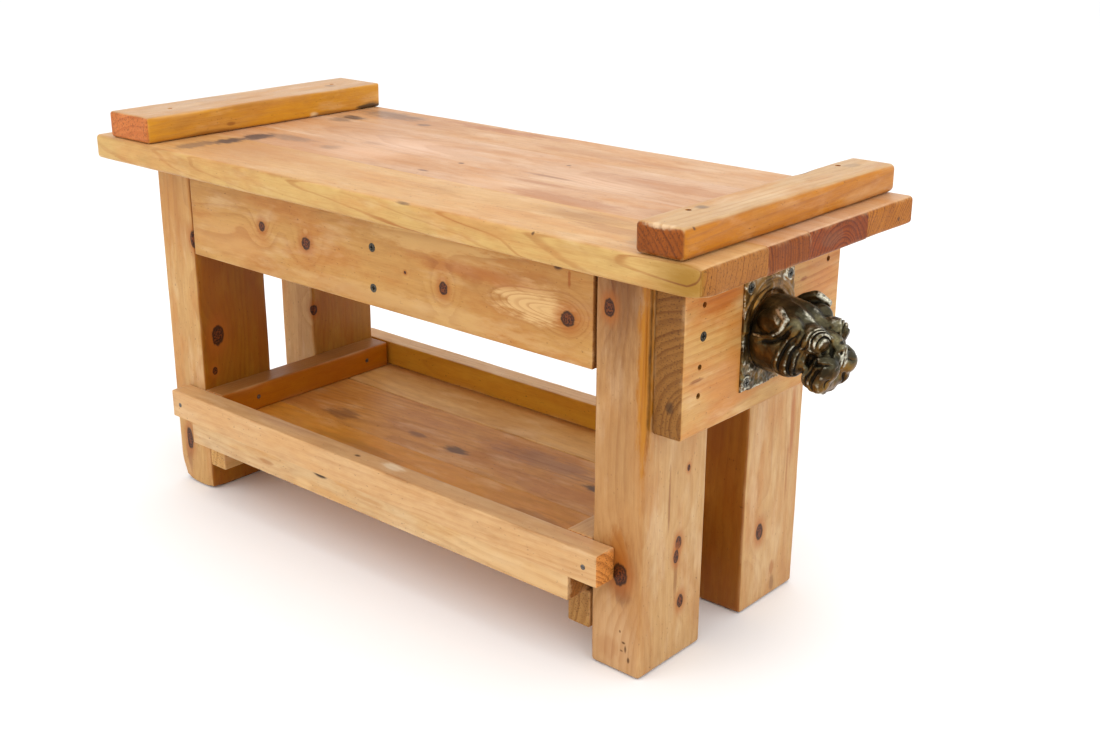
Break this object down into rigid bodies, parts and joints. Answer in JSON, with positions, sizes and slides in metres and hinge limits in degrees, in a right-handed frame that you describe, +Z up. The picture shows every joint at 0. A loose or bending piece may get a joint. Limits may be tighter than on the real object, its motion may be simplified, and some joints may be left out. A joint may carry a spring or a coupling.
{
  "type": "small workbench",
  "caption": "Low rustic pine workbench with battens across the ends of its top, aprons, a railed tray shelf and a cast bulldog head on a screw plate at one end.",
  "frame": {"origin": "on the floor, under the middle of the whole object's box", "axes": "+X along the bench towards the end with the cast head, -Y the front long side, +Z up"},
  "size_m": [0.5838, 0.23, 0.3],
  "materials": {
    "honey_pine": "oiled, worn at the edges",
    "red_pine": "oiled, stained",
    "stained_pine": "stained and dirty",
    "cast_bronze": "dark patina with rubbed highlights",
    "screw_steel": "dull zinc",
    "nail_iron": "dull iron"
  },
  "bodies": {
    "root": {"top_front_board": "honey_pine", "top_second_board": "red_pine", "top_third_board": "red_pine", "top_back_board": "honey_pine", "left_batten": "honey_pine", "right_batten": "honey_pine", "front_left_leg": "honey_pine", "front_right_leg": "honey_pine", "back_left_leg": "honey_pine", "back_right_leg": "honey_pine", "front_apron": "honey_pine", "back_apron": "honey_pine", "middle_brace": "honey_pine", "left_cleat": "honey_pine", "right_cleat": "honey_pine", "right_end_board": "honey_pine", "shelf_front_board": "honey_pine", "shelf_middle_board": "stained_pine", "shelf_back_board": "honey_pine", "front_shelf_rail": "honey_pine", "back_shelf_rail": "honey_pine", "left_shelf_rail": "honey_pine", "right_shelf_rail": "honey_pine", "left_bearer": "honey_pine", "right_bearer": "honey_pine", "bulldog_casting": "cast_bronze", "casting_screws": "screw_steel", "end_board_screws": "screw_steel", "end_board_nails": "nail_iron", "apron_screws": "screw_steel", "rail_nails": "nail_iron", "end_rail_nails": "nail_iron", "batten_nails": "nail_iron", "cleat_screws": "screw_steel", "bearer_screws": "screw_steel", "top_screws": "screw_steel", "shelf_nails": "nail_iron"}
  },
  "joints": []
}
